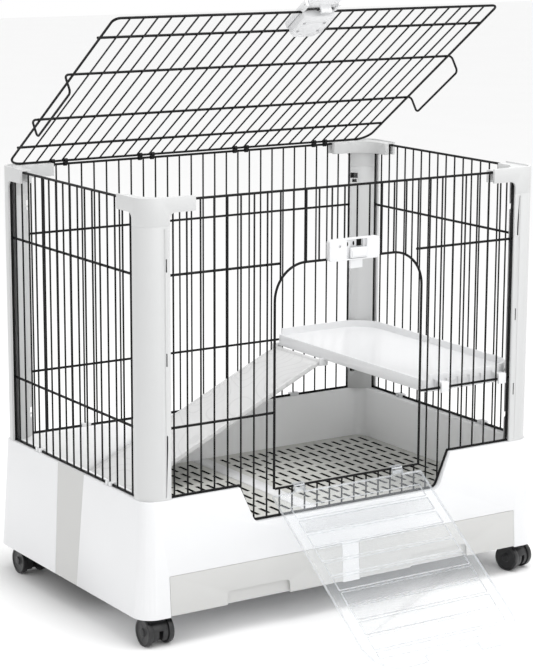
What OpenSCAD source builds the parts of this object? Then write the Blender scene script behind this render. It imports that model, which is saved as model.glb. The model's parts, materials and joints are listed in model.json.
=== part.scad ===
/* [Cage] */
// Distance between the wire planes of the two end panels
cage_x = 768.5; // [640:0.5:930]
// Distance between the wire planes of the front and back panels
cage_y = 485.4; // [430:0.1:590]
// Height of the panels' top wires above the floor
top_z = 718; // [690:1:800]
// Spacing of the thin upright wires
pitch = 25; // [20:0.5:27]
// Diameter of the thin wires
thin_d = 2.8; // [2:0.1:3.4]
// Diameter of the frame wires and cross wires
frame_d = 4; // [3.4:0.1:4.6]
// Diameter of the upright wire at each end of a panel
edge_d = 5; // [4:0.1:5.4]
// Height of the upper cross wires
cross_hi_z = 600; // [560:1:650]
// Height of the lower cross wires, which carry the shelf
cross_lo_z = 354; // [320:1:400]

/* [Base] */
// Height of the base's rim
rim_z = 240; // [220:1:270]
// Height of the base's bottom edge, above the casters
base_z = 48; // [48:1:60]
// How far the base spreads outwards from rim to bottom edge
flare = 12.5; // [4:0.5:20]
// Thickness of the base's outer wall
skirt_t = 3.5; // [3:0.5:6]
// Corner radius of the base at the rim
rim_r = 20; // [12:1:30]
// How far the base and the posts stand outside the wire planes
rim_out = 8; // [7:0.5:12]
// Gap from the wire plane to the liner's inner wall, at the ends
liner_in_x = 14; // [12:1:20]
// Gap from the wire plane to the liner's inner wall, front and back
liner_in_y = 7; // [6:0.5:12]
// Wall thickness of the liner
liner_t = 2.5; // [2:0.5:3.5]
// Height of the floor mats' walking face
mat_z = 145; // [130:1:170]
// Thickness of the floor mats
mat_t = 3; // [2:0.5:5]
// Width of the white beam between the two mats
beam_w = 30; // [20:1:40]
// Width and length of one slot in a mat
slot_size = [7, 31];
// Spacing of the slots across and along the cage
slot_pitch = [21, 44];
// Width of the entry cut-out at the rim
entry_top_w = 428; // [380:1:470]
// Width of the entry cut-out at its lower edge
entry_low_w = 374; // [330:1:380]
// Height of the entry cut-out's lower edge
entry_z = 178; // [170:1:200]
// Corner radius at the foot of the entry cut-out
entry_r = 15; // [5:1:20]
// Width of the end strips at the rim
strip_top_w = 93; // [60:1:120]
// Width of the end strips at the bottom edge
strip_low_w = 77; // [50:1:100]

/* [Drawers] */
// Width of the wall between the two drawer fronts
divider_w = 35; // [30:1:60]
// Width of one drawer front
drawer_w = 334.5; // [250:0.5:340]
// Height of a drawer's top edge
drawer_top_z = 115; // [95:1:125]
// Depth of a drawer behind its front
drawer_depth = 440; // [300:1:460]
// Wall thickness of a drawer
drawer_t = 2.5; // [2:0.5:4]
// Width and height of the hand notch under a drawer's front
notch_size = [122, 22];

/* [Posts and caps] */
// Length of a post's leg along the front or back panel
leg_x = 41; // [36:1:46]
// Length of a post's leg along an end panel
leg_y = 27; // [25:1:32]
// Wall thickness of posts and caps
post_t = 4; // [3:0.5:4.5]
// Outer corner radius of posts and caps
post_r = 30; // [20:1:32]
// Distance from the seam under a cap down from the top wires
seam_drop = 39; // [30:1:50]
// Length of a cap's arm along the front or back panel
cap_arm_x = 88; // [70:1:110]
// Length of a cap's arm along an end panel
cap_arm_y = 75; // [60:1:90]
// Depth of a cap's arms below the top wires
cap_depth = 18; // [14:1:24]
// Radius of the curve inside a cap's corner
cap_curve_r = 40; // [20:1:50]

/* [Entry door] */
// Width of the door opening between wire centres
door_w = 295; // [240:1:300]
// Centre of the door opening from the cage's middle
door_x = 3.5; // [-10:0.5:10]
// Height of the door's hinge wire
door_hinge_z = 225.5; // [215:0.5:236]
// Height of the top of the door opening
door_top_z = 598.5; // [560:0.5:600]
// Corner radius of the door opening
door_r = 60; // [30:1:80]
// Length of the ramp door from its hinge wire
ramp_len = 375.5; // [340:0.5:378]
// Width of the ramp door
ramp_w = 302; // [260:1:306]
// Thickness of the ramp door
ramp_t = 5.5; // [4:0.5:6]
// Width of the ramp door's side rails
ramp_rail = 20; // [14:1:30]
// Spacing of the ramp door's ribs
ramp_rib_pitch = 30; // [22:1:40]
// Width of the door latch
latch_w = 100; // [80:1:110]
// Centre of the door latch from the cage's middle
latch_x = 4; // [-5:0.5:10]
// Travel of the door latch's slider
latch_travel = 12; // [6:1:12]

/* [Lid] */
// Angle at which the lid stands open
lid_open = 35; // [0:1:60]
// Length of the lid from its hinge wire to its front edge
lid_len = 470; // [415:1:472]
// Corner radius of the lid's frame beside its hinge wire
lid_r = 25; // [15:1:40]
// Corner radius of the lid's frame at its front edge
lid_front_r = 12; // [8:1:40]
// Height of the lid's hinge wire above the top wires
lid_rise = 6; // [5.5:0.5:8]
// Width of one hinge loop
loop_w = 6; // [4:1:8]

/* [Shelf and inner ramp] */
// Length of the shelf along the end panel side
shelf_w = 205; // [170:1:240]
// Height of the shelf's walking face
shelf_z = 364; // [360:1:372]
// Height of the shelf's raised rims
shelf_rim_z = 376; // [374:1:390]
// Depth of the shelf's sides below its walking face
shelf_skirt = 18; // [14:1:24]
// Width of the inner ramp
climb_w = 149; // [110:1:170]
// Length of the inner ramp
climb_len = 453; // [430:1:460]
// Thickness of the inner ramp
climb_t = 6; // [4:0.5:8]

/* [Casters] */
// Wheel radius
wheel_r = 23; // [18:0.5:23]
// Thickness of one wheel disc
wheel_t = 9; // [7:0.5:10]
// Distance between the centres of a caster's two discs
wheel_gap = 38; // [34:1:44]
// Distance the wheels trail behind the stem
trail = 15; // [10:1:16]
// Stem radius
stem_r = 4; // [3:0.5:5]

/* [Hidden] */
$fn = 48;

// Colours
white = [0.93, 0.935, 0.94];
post_grey = [0.86, 0.86, 0.86];
trim_grey = [0.83, 0.83, 0.82];
mat_grey = [0.82, 0.82, 0.80];
wire_black = [0.06, 0.06, 0.06];
clear_tint = [0.80, 0.88, 0.95, 0.45];

// Clearances
fit_gap = 0.3;        // between neighbouring moulded pieces
run_gap = 0.06;       // radial, in a bore that turns on its pin
slide_gap = 0.5;      // around sliding pieces
embed = 0.4;          // how deep a welded wire sinks into the one it crosses
over = 1;             // how far a cut runs past the face that it opens

// Half sizes of the wire box and its place, so that the bounding box stands on the origin
wx = cage_x / 2;
wy = cage_y / 2;
ramp_under = 8.5;                            // hinge wire to the ramp door's lower face
ramp_drop = door_hinge_z - fit_gap;
ramp_angle = asin(ramp_drop / norm([ramp_len, ramp_under])) - atan(ramp_under / ramp_len);
ramp_reach = ramp_len * cos(ramp_angle) - (ramp_under - ramp_t) * sin(ramp_angle);
foot_y = wy + rim_out + flare;               // half depth of the base's bottom edge
cy = (wy + ramp_reach - foot_y) / 2;         // the cage's middle, measured from the origin

flat = 1 / cos(22.5);                        // corner-to-flat ratio of an eight-sided wire
thick_r = frame_d / 2;
thin_r = thin_d / 2;
bottom_wire_z = rim_z + thick_r;
bar_in = thick_r + thin_r - embed;           // thin wire centre to crossing wire centre
thin_out = bar_in * 0.4;                     // thin wires stand this far outside the wire plane
bar_back = bar_in - thin_out;                // cross wires stand this far inside it
upright_shift = 9.25;                        // sets the row of uprights off the middle
edge_x = wx - leg_x + 5;                     // upright edge wires, just inside the post's legs
edge_y = wy - leg_y + 5;
first_x = pitch * floor((wx - leg_x - 4) / pitch) + upright_shift;
count_x = floor((first_x + edge_x - 3) / pitch) + 1;
count_y = 2 * floor((edge_y - 6) / pitch) + 1;
seam_z = top_z - seam_drop;
door_l = door_x - door_w / 2;
door_rt = door_x + door_w / 2;

// ---- wires ----
module wire_z(d, z0, z1) translate([0, 0, z0]) rotate(22.5) cylinder(h = z1 - z0, d = d * flat, $fn = 8);
module wire_x(d, x0, x1) translate([x0, 0, 0]) rotate([0, 90, 0]) wire_z(d, 0, x1 - x0);
module wire_y(d, y0, y1) translate([0, y1, 0]) rotate([90, 0, 0]) wire_z(d, 0, y1 - y0);
module in_cage() translate([0, cy, 0]) children();
module box(lo, hi) translate(lo) cube(hi - lo);

// All thin wire places along a front or back panel
thin_xs = [for (i = [0 : count_x - 1]) i * pitch - first_x];
thin_ys = [for (i = [0 : count_y - 1]) (i - (count_y - 1) / 2) * pitch];
sill_xs = [for (x = thin_xs) if (x > door_l + thick_r && x < door_rt - thick_r) x];

// Height of the door opening's outline at x
function arch_z(x) =
    let (dx = max(0, abs(x - door_x) - (door_w / 2 - door_r)))
    door_top_z - door_r + sqrt(door_r * door_r - dx * dx);

// The front panel's frame wire runs inside the entry cut-out and follows its outline:
// a foot, a bend about (frame_cx, frame_low + frame_bend) and a slanted length up to the bottom wire
entry_slope = (entry_top_w - entry_low_w) / 2 / (rim_z - entry_z);
entry_slant = norm([1, entry_slope]);
frame_in = thick_r + 0.2;
frame_bend = entry_r - frame_in;
frame_low = entry_z + frame_in;
frame_cx = entry_low_w / 2 - (frame_in + frame_bend) * (entry_slant - entry_slope);
frame_tx = frame_cx + frame_bend / entry_slant;
frame_tz = frame_low + frame_bend - frame_bend * entry_slope / entry_slant;
frame_top_x = frame_tx + (bottom_wire_z - frame_tz) * entry_slope;

// Height of the front panel's lower frame at x
function entry_frame_z(x) =
    let (a = abs(x))
    a > frame_top_x ? bottom_wire_z
    : a > frame_tx ? frame_tz + (a - frame_tx) / entry_slope
    : a > frame_cx ? frame_low + frame_bend - sqrt(frame_bend * frame_bend - (a - frame_cx) * (a - frame_cx))
    : frame_low;

// ---- base ----
function spread(z) = flare * (rim_z - z) / (rim_z - base_z);

// The base's tapered outline between two heights, drawn inwards by inset
module flared(inset, z0, z1) {
    cx = wx + rim_out - rim_r;
    cyy = wy + rim_out - rim_r;
    r0 = rim_r - inset + spread(z0);
    r1 = rim_r - inset + spread(z1);
    for (sx = [-1, 1], sy = [-1, 1])
        translate([sx * cx, sy * cyy, z0]) cylinder(h = z1 - z0, r1 = r0, r2 = r1);
    rotate([90, 0, 0]) translate([0, 0, -cyy]) linear_extrude(2 * cyy)
        polygon([[-cx - r0, z0], [cx + r0, z0], [cx + r1, z1], [-cx - r1, z1]]);
    rotate([90, 0, 90]) translate([0, 0, -cx]) linear_extrude(2 * cx)
        polygon([[-cyy - r0, z0], [cyy + r0, z0], [cyy + r1, z1], [-cyy - r1, z1]]);
}

// A rounded upright block on the cage's middle
module block(half_x, half_y, r, z0, z1) {
    translate([0, 0, z0]) linear_extrude(z1 - z0) {
        for (sx = [-1, 1], sy = [-1, 1])
            translate([sx * (half_x - r), sy * (half_y - r)]) circle(r);
        square([2 * half_x, 2 * (half_y - r)], center = true);
        square([2 * (half_x - r), 2 * half_y], center = true);
    }
}

// Outline of the entry cut-out, grown by grow on the sides and foot
module entry_outline(grow) {
    r = entry_r + grow;
    low = entry_z - grow;
    foot = entry_low_w / 2 + grow * (entry_slant - entry_slope);
    cx = foot - r * (entry_slant - entry_slope);
    tx = cx + r / entry_slant;
    tz = low + r - r * entry_slope / entry_slant;
    top = rim_z + 5;
    wide = tx + (top - tz) * entry_slope;
    polygon([[-wide, top], [-tx, tz], [-cx, low], [cx, low], [tx, tz], [wide, top]]);
    for (s = [-1, 1]) translate([s * cx, low + r]) circle(r);
}

module entry_cut(grow, y0, y1)
    translate([0, y1, 0]) rotate([90, 0, 0]) linear_extrude(y1 - y0) entry_outline(grow);

liner_x = wx - liner_in_x;                   // liner's inner half width
liner_y = wy - liner_in_y + 0.3;
liner_r = 22;
flange_t = 2.5;
drawer_x0 = divider_w / 2;
drawer_x1 = drawer_x0 + drawer_w;
drawer_z = base_z + 2.8;
floor_t = 2.5;
strip_recess = 2;
strip_t = 1.2;
lean = atan(flare / (rim_z - base_z));

module base_skirt() color(white) in_cage() difference() {
    union() {
        difference() {
            flared(0, base_z, rim_z);
            flared(skirt_t, base_z - over, rim_z - flange_t);
            block(liner_x + liner_t, liner_y + liner_t, liner_r + liner_t, rim_z - 10, rim_z + over);
        }
        intersection() {
            difference() {
                entry_cut(liner_t, -foot_y, -liner_y - liner_t);
                entry_cut(0, -foot_y - over, -liner_y);
            }
            flared(skirt_t / 2, base_z, rim_z);
        }
    }
    entry_cut(0, -foot_y - over, -liner_y);
    for (s = [-1, 1]) {
        box([min(s * (drawer_x0 - fit_gap), s * (drawer_x1 + fit_gap)), -foot_y - over, base_z - over],
            [max(s * (drawer_x0 - fit_gap), s * (drawer_x1 + fit_gap)), -wy, drawer_top_z + fit_gap]);
        end_strip_shape(s, strip_recess + over, -strip_recess);
    }
}

// A tapered strip lying in the plane of an end wall, from depth to depth
module end_strip_shape(side, thick, depth) {
    span = (rim_z - base_z) / cos(lean);
    translate([side * (foot_y - wy + wx), 0, base_z]) rotate([0, -side * lean, 0]) rotate([90, 0, 90])
        translate([0, 0, side > 0 ? depth : -depth - thick]) linear_extrude(thick)
            polygon([[-strip_low_w / 2, -over], [strip_low_w / 2, -over],
                [strip_top_w / 2, span + over], [-strip_top_w / 2, span + over]]);
}

module end_strip(side) color(trim_grey) in_cage() intersection() {
    end_strip_shape(side, strip_t, -strip_recess);
    box([-2 * wx, -wy, base_z], [2 * wx, wy, rim_z]);
}

// The wall round the cage's floor, open at the entry
module tub_liner() color(white) in_cage() difference() {
    block(liner_x + liner_t, liner_y + liner_t, liner_r + liner_t, ledge_z, rim_z);
    block(liner_x, liner_y, liner_r, ledge_z - over, rim_z + over);
    entry_cut(0, -wy, -liner_y + over);
}

// The rail inside the liner's foot that the mats lie on
ledge_w = 6;
ledge_z = mat_z - mat_t - 3;
module mat_ledge() color(white) in_cage() difference() {
    block(liner_x, liner_y, liner_r, ledge_z, mat_z - mat_t);
    block(liner_x - ledge_w, liner_y - ledge_w, liner_r - ledge_w, ledge_z - over, mat_z);
}

module base_floor() color(white) in_cage() difference() {
    flared(skirt_t, base_z, base_z + floor_t);
    box([-wx * 2, -foot_y - over, 0], [wx * 2, -foot_y + 12, base_z + 10]);
    for (c = caster_places) translate([c[0], c[1], 0]) cylinder(h = 2 * base_z, r = socket_r + 0.05);
}

module center_beam() color(white) in_cage() {
    rise = 1.5;
    wall = 2;
    front = -foot_y + 14;
    box([-beam_w / 2, -liner_y + ledge_w, mat_z - 22], [beam_w / 2, liner_y - ledge_w, mat_z + rise]);
    box([-wall, front, base_z + floor_t], [wall, liner_y, mat_z - 22]);
}

module floor_mat(side) color(mat_grey) in_cage() {
    x0 = beam_w / 2 + fit_gap;
    x1 = liner_x - fit_gap;
    y1 = liner_y - fit_gap;
    nx = floor((x1 - x0 - 12) / slot_pitch[0]);
    ny = floor((2 * y1 - 14) / slot_pitch[1]);
    margin_x = ((x1 - x0) - (nx - 1) * slot_pitch[0]) / 2;
    translate([0, 0, mat_z - mat_t]) linear_extrude(mat_t) difference() {
        mirror([side < 0 ? 1 : 0, 0]) intersection() {
            translate([x0, -y1]) square([x1 - x0, 2 * y1]);
            union() {
                translate([x0 - 50, -y1]) square([x1 - x0 - liner_r + 50, 2 * y1]);
                translate([x0, -y1 + liner_r]) square([x1 - x0, 2 * (y1 - liner_r)]);
                for (s = [-1, 1]) translate([x1 - liner_r, s * (y1 - liner_r)]) circle(liner_r);
            }
        }
        for (i = [0 : nx - 1], j = [0 : ny - 1])
            translate([side * (x0 + margin_x + i * slot_pitch[0]), (j - (ny - 1) / 2) * slot_pitch[1]])
                square(slot_size, center = true);
    }
}

// ---- drawers ----
drawer_back = -foot_y + 6 + drawer_depth;
module drawer(side) color(trim_grey) in_cage() {
    front_t = 3.2;
    body_in = 6;
    z1 = drawer_top_z;
    lo = -foot_y + spread(base_z) - spread(drawer_z);
    hi = -foot_y + spread(base_z) - spread(z1);
    x0 = side > 0 ? drawer_x0 : -drawer_x1;
    bx0 = x0 + body_in;
    bx1 = x0 + drawer_w - body_in;
    by0 = hi + front_t - 0.5;
    difference() {
        union() {
            translate([x0, 0, 0]) rotate([90, 0, 90]) linear_extrude(drawer_w)
                polygon([[lo, drawer_z - 0.5], [lo + front_t, drawer_z - 0.5], [hi + front_t, z1], [hi, z1]]);
            box([bx0, by0, drawer_z], [bx1, drawer_back, z1 - 6]);
        }
        box([bx0 + drawer_t, by0 + drawer_t, drawer_z + drawer_t],
            [bx1 - drawer_t, drawer_back - drawer_t, z1 + over]);
        hand_notch(x0 + drawer_w / 2, lo - over, by0 + 1);
    }
}

// The hand notch stays in the front plate, with rounded upper corners
module hand_notch(x, y0, y1) {
    r = 8;
    half = notch_size[0] / 2;
    h = notch_size[1];
    translate([x, y1, drawer_z - over]) rotate([90, 0, 0]) linear_extrude(y1 - y0) {
        translate([-half, 0]) square([2 * half, h + over - r]);
        translate([-half + r, 0]) square([2 * (half - r), h + over]);
        for (s = [-1, 1]) translate([s * (half - r), h + over - r]) circle(r);
    }
}

// ---- corners: drawn for the front left corner, with the wire planes' crossing as origin ----
module corner(sx, sy) in_cage() translate([sx * wx, sy * wy, 0])
    mirror([sx > 0 ? 1 : 0, 0, 0]) mirror([0, sy > 0 ? 1 : 0, 0]) children();

// An angle's outline with a rounded outer corner
module angle_outline(out, r, reach_x, reach_y) translate([-out, -out]) difference() {
    square([reach_x + out, reach_y + out]);
    difference() {
        translate([-over, -over]) square([r + over, r + over]);
        translate([r, r]) circle(r);
    }
}

module angle_wall(reach_x, reach_y, z0, z1) translate([0, 0, z0]) linear_extrude(z1 - z0) difference() {
    angle_outline(rim_out, post_r, reach_x, reach_y);
    angle_outline(rim_out - post_t, post_r - post_t, reach_x + over, reach_y + over);
}

groove_w = 3;
module post(sx, sy) color(post_grey) corner(sx, sy) difference() {
    angle_wall(leg_x, leg_y, rim_z, seam_z);
    box([leg_x - 12, -rim_out - over, rim_z + 4], [leg_x - 12 + groove_w, -rim_out + 1, seam_z - 4]);
    for (z = [top_z - 111, top_z - 261, top_z - 394])
        box([leg_x - 8, -rim_out - over, z], [leg_x - 6, 0, z + 21]);
}

// The diagonal plate that closes a post on the cage's inside, with the web that ties it to the post
cover_t = 2.5;
cover_a = [44.5, 4];
cover_m = [26.5, 19.5];
cover_b = [5, 28.5];
module cover_outline() {
    inner = post_r - rim_out - (post_r - post_t) / sqrt(2);
    polygon([cover_a, cover_m, cover_b, [5, 28.5 - cover_t], [24.5, 17], [42, 4]]);
    difference() {
        polygon([[inner, inner + 2], [inner + 2, inner], [26.5, 16.5], [23.5, 18.2]]);
        translate([post_r - rim_out, post_r - rim_out]) difference() {
            square(4 * post_r, center = true);
            circle(post_r - post_t);
        }
    }
}

cover_top = seam_z - 6;
module post_cover(sx, sy) color(post_grey) corner(sx, sy) difference() {
    translate([0, 0, rim_z]) linear_extrude(cover_top - rim_z) cover_outline();
    for (z = [cover_top - 22, rim_z + 42]) {
        translate([0, 0, z]) linear_extrude(10) polygon([[30, 10], [38, 18], [50, 8], [40, 0]]);
        translate([0, 0, z - 8]) linear_extrude(6) polygon([[32, 8], [38, 18], [46, 10], [38, 4]]);
    }
}

module corner_cap(sx, sy) color(post_grey) corner(sx, sy) {
    top = top_z + lid_rise;
    deck = top_z + thick_r + 0.2;
    deck_top = deck + 1.4;
    lip = 4.5;
    arm = 14;
    wall = 2.5;
    // raised outer edge around the lid
    translate([0, 0, top_z - cap_depth]) linear_extrude(top - top_z + cap_depth) difference() {
        angle_outline(rim_out, post_r, cap_arm_x, cap_arm_y);
        angle_outline(rim_out - lip, post_r - lip, cap_arm_x + over, cap_arm_y + over);
    }
    // ledge that the lid rests over
    translate([0, 0, deck]) linear_extrude(deck_top - deck) difference() {
        cap_plan(arm);
        difference() {
            translate([-rim_out - over, -rim_out - over]) square(post_r - 1);
            translate([post_r - rim_out, post_r - rim_out]) circle(post_r - 1);
        }
    }
    // curved inner wall below the ledge
    translate([0, 0, top_z - cap_depth]) linear_extrude(deck_top - top_z + cap_depth) difference() {
        cap_plan(arm);
        translate([-wall, -wall]) cap_plan(arm);
        square(arm - wall);
        translate([-rim_out - over, -rim_out - over]) square([cap_arm_x * 2, rim_out + over + 6]);
        translate([-rim_out - over, -rim_out - over]) square([rim_out + over + 6, cap_arm_y * 2]);
    }
    // collar down to the seam, and the collar over the inner cover
    angle_wall(leg_x, leg_y, seam_z, top_z - cap_depth);
    translate([0, 0, cover_top]) linear_extrude(deck - cover_top) cover_outline();
    // fillets from the arms to the post
    fillet = 10;
    translate([leg_x, -rim_out + post_t, top_z - cap_depth]) rotate([90, 0, 0]) fillet_web(fillet, post_t);
    translate([-rim_out, leg_y, top_z - cap_depth]) rotate([90, 0, 90]) fillet_web(fillet, post_t);
}

module fillet_web(r, t) linear_extrude(t) difference() {
    translate([0, -r]) square(r);
    translate([r, -r]) circle(r);
}

// Plan of a cap: two arms joined by a wide curve
module cap_plan(arm) {
    translate([-rim_out + 1, -rim_out + 1]) square([cap_arm_x + rim_out - 1, arm + rim_out - 1]);
    translate([-rim_out + 1, -rim_out + 1]) square([arm + rim_out - 1, cap_arm_y + rim_out - 1]);
    difference() {
        translate([arm - 1, arm - 1]) square(cap_curve_r + 1);
        translate([arm + cap_curve_r, arm + cap_curve_r]) circle(cap_curve_r);
    }
}

// ---- wire panels ----
// Uprights of a panel that runs along X, standing outside the wire plane
module uprights(xs, d, z0, z1) for (x = xs) translate([x, -thin_out, 0]) wire_z(d, z0, z1);

module back_panel() color(wire_black) in_cage() translate([0, wy, 0]) mirror([0, 1, 0]) {
    half = edge_x + 3;
    uprights(thin_xs, thin_d, bottom_wire_z, top_z);
    for (s = [-1, 1]) translate([s * edge_x, 0, 0]) wire_z(edge_d, bottom_wire_z - thick_r, top_z);
    for (z = [bottom_wire_z, top_z]) translate([0, 0, z]) wire_x(frame_d, -half, half);
    for (z = [cross_lo_z, cross_hi_z]) translate([0, bar_back, z]) wire_x(frame_d, -edge_x, edge_x);
}

module side_panel(side) color(wire_black) in_cage() translate([side * wx, 0, 0])
    rotate(side > 0 ? 90 : -90) {
        half = edge_y + 3;
        uprights(thin_ys, thin_d, bottom_wire_z, top_z);
        for (s = [-1, 1]) translate([s * edge_y, 0, 0]) wire_z(edge_d, bottom_wire_z - thick_r, top_z);
        for (z = [bottom_wire_z, top_z]) translate([0, 0, z]) wire_x(frame_d, -half, half);
        for (z = [cross_lo_z, cross_hi_z]) translate([0, bar_back, z]) wire_x(frame_d, -edge_y, edge_y);
    }

module at_front() in_cage() translate([0, -wy, 0]) children();

// One side of the front panel, from its edge wire to the door's side wire
module front_side(side) color(wire_black) at_front() {
    jamb = side > 0 ? door_rt : door_l;
    xs = [for (x = thin_xs) if (side * x > side * jamb + thin_r) x];
    x0 = min(jamb, side * (edge_x + 3));
    x1 = max(jamb, side * (edge_x + 3));
    c0 = max(x0, -edge_x);
    c1 = min(x1, edge_x);
    split = side * frame_top_x;
    for (x = xs) translate([x, -thin_out, 0]) wire_z(thin_d, entry_frame_z(x), top_z);
    translate([side * edge_x, 0, 0]) wire_z(edge_d, bottom_wire_z - thick_r, top_z);
    translate([jamb, 0, 0]) wire_z(frame_d, door_hinge_z, door_top_z - door_r);
    translate([0, 0, top_z]) wire_x(frame_d, x0, x1);
    translate([0, 0, bottom_wire_z])
        wire_x(frame_d, side > 0 ? split : x0, side > 0 ? x1 : split);
    for (z = [cross_lo_z, cross_hi_z]) translate([0, bar_back, z]) wire_x(frame_d, c0, c1);
    // the frame wire's slanted length beside the entry, and its bend down to the sill's foot
    lean_in = atan(entry_slope);
    mirror([side < 0 ? 1 : 0, 0, 0]) {
        translate([frame_tx, 0, frame_tz]) rotate([0, lean_in, 0])
            cylinder(h = (bottom_wire_z - frame_tz) * entry_slant + thick_r / 2, d = frame_d + 0.1);
        translate([frame_cx, 0, frame_low + frame_bend]) rotate([90, 90, 0])
            rotate_extrude(angle = 90 - lean_in + 0.5) translate([frame_bend, 0]) circle(d = frame_d);
    }
}

module front_panel_header() color(wire_black) at_front() {
    arc_z = door_top_z - door_r;
    uprights(sill_xs_top(), thin_d, door_top_z, top_z);
    for (x = sill_xs) if (arch_z(x) < door_top_z - 0.5)
        translate([x, -thin_out, 0]) wire_z(thin_d, arch_z(x), top_z);
    translate([0, 0, top_z]) wire_x(frame_d, door_l, door_rt);
    translate([0, 0, door_top_z]) wire_x(frame_d, door_l + door_r, door_rt - door_r);
    for (s = [-1, 1]) {
        translate([door_x + s * (door_w / 2 - door_r), 0, arc_z]) rotate([90, s > 0 ? 0 : -90, 0])
            rotate_extrude(angle = 90) translate([door_r, 0]) rotate(22.5) circle(d = frame_d * flat, $fn = 8);
        // short lengths of the upper cross wire, out to the side parts
        jamb = s > 0 ? door_rt : door_l;
        stub = s > 0 ? max(sill_xs) : min(sill_xs);
        translate([0, bar_back, cross_hi_z]) wire_x(frame_d, min(jamb, stub), max(jamb, stub));
    }
}

function sill_xs_top() = [for (x = sill_xs) if (arch_z(x) >= door_top_z - 0.5) x];

module front_panel_sill() color(wire_black) at_front() {
    uprights(sill_xs, thin_d, frame_low, door_hinge_z);
    translate([door_l + thick_r, 0, door_hinge_z]) rotate([0, 90, 0])
        cylinder(h = door_w - frame_d, d = frame_d);
    translate([0, 0, frame_low]) wire_x(frame_d, -frame_cx, frame_cx);
}

clip_half = 9;
module rim_clips() color(white) in_cage() {
    // each clip stands astride an upright wire
    cell = floor((wx - 150) / pitch);
    cell_y = round(wy / 2 / pitch);
    for (i = [-cell, cell]) translate([i * pitch - upright_shift, wy, 0]) rim_clip();
    for (s = [-1, 1], i = [-cell_y, cell_y]) translate([s * wx, i * pitch, 0]) rotate(90) rim_clip();
}

module rim_clip() {
    h = thick_r * 2 + 3;
    slot = thick_r + 0.15;
    gap = thin_r + 0.3;
    difference() {
        box([-clip_half, -5.5, rim_z], [clip_half, 5.5, rim_z + h]);
        box([-clip_half - over, -slot, rim_z - over], [clip_half + over, slot, rim_z + frame_d + 0.2]);
        box([-gap, -thin_out - gap - 0.5, rim_z - over], [gap, 6, rim_z + h + over]);
    }
}

// ---- lid: drawn closed in its own frame, hinge wire on X, the lid reaching towards -Y ----
hinge_y = wy - 2.4;
hinge_z = top_z + lid_rise;
lid_half = wx - 5;
lid_bars = [54, 150, 296, 408];
bar_end = lid_half + thick_r;                // cross wires end flush with the frame's outer face
module in_lid() in_cage() translate([0, hinge_y, hinge_z]) rotate([-lid_open, 0, 0]) children();

module lid_mesh() color(wire_black) in_lid() {
    n = floor((lid_half - 12) / pitch);
    rotate([0, 90, 0]) translate([0, 0, -lid_half + lid_r]) cylinder(h = 2 * (lid_half - lid_r), d = frame_d);
    translate([0, -lid_len, 0]) wire_x(frame_d, -lid_half + lid_front_r, lid_half - lid_front_r);
    for (side = [0, 1]) mirror([side, 0, 0]) {
        translate([lid_half, 0, 0]) wire_y(frame_d, -lid_len + lid_front_r, -lid_r);
        translate([lid_half - lid_r, -lid_r, 0]) wire_bend(lid_r);
        translate([lid_half - lid_front_r, -lid_len + lid_front_r, 0]) rotate(270) wire_bend(lid_front_r);
    }
    for (i = [-n : n]) translate([i * pitch, 0, 0]) wire_y(thin_d, -lid_len, 0);
    for (y = lid_bars) translate([0, -y, bar_in]) wire_x(frame_d, -bar_end, bar_end);
}

module wire_bend(r) rotate_extrude(angle = 90) translate([r, 0]) rotate(22.5) circle(d = frame_d * flat, $fn = 8);

// Side bails: the ends of two cross wires, bent down outside the end panels and joined
bail_out = 15;
bail_drop = 30;
module lid_bails() color(wire_black) in_lid() for (side = [0, 1]) mirror([side, 0, 0]) {
    x0 = bar_end;
    x1 = lid_half + bail_out;
    lap = thick_r * 0.7;
    for (y = [lid_bars[1], lid_bars[2]]) {
        translate([0, -y, bar_in]) wire_x(frame_d, x0, x1 + lap);
        translate([x1, -y, 0]) wire_z(frame_d - 0.15, -bail_drop - lap, bar_in + lap * 0.9);
    }
    translate([x1, 0, -bail_drop]) wire_y(frame_d, -lid_bars[2] - lap * 0.8, -lid_bars[1] + lap * 0.8);
}

// Loops sit in pairs, each midway between a lid wire and the next upright of the back panel
loop_free = (pitch - upright_shift) / 2;
loop_outer = floor((wx - cap_arm_x - loop_w / 2 - loop_free) / pitch);
loop_inner = round(loop_outer * 0.36);
loop_cells = [-loop_outer - 1, -loop_outer, -loop_inner - 1, -loop_inner,
    loop_inner - 1, loop_inner, loop_outer - 1, loop_outer];
module hinge_loops() color(wire_black) in_cage() for (cell = loop_cells)
    translate([cell * pitch + loop_free - loop_w / 2, 0, 0]) rotate([90, 0, 90]) linear_extrude(loop_w) difference() {
        loop_outline(thick_r + 1.8);
        translate([hinge_y, hinge_z]) circle(thick_r + run_gap);
        translate([wy, top_z]) circle(thick_r * flat + 0.1);
    }

module loop_outline(r) {
    along = atan2(hinge_z - top_z, hinge_y - wy);
    reach = norm([hinge_y - wy, hinge_z - top_z]);
    translate([hinge_y, hinge_z]) circle(r);
    translate([wy, top_z]) circle(r);
    translate([wy, top_z]) rotate(along) translate([0, -r]) square([reach, 2 * r]);
}

// ---- lid latch: lid frame, s runs from the hinge wire, so the piece lies at -s ----
grip_half = 34;
body_s0 = lid_len - 62;
body_s1 = lid_len + 6;
body_under = 12;
body_over = 9;
pivot_s = lid_len + 19;
pivot_h = 2;
module latch_plan(half, s0, s1, chamfer) polygon([[-half, -s1], [half, -s1], [half, -s0 - chamfer],
    [half - chamfer, -s0], [-half + chamfer, -s0], [-half, -s0 - chamfer]]);

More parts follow.
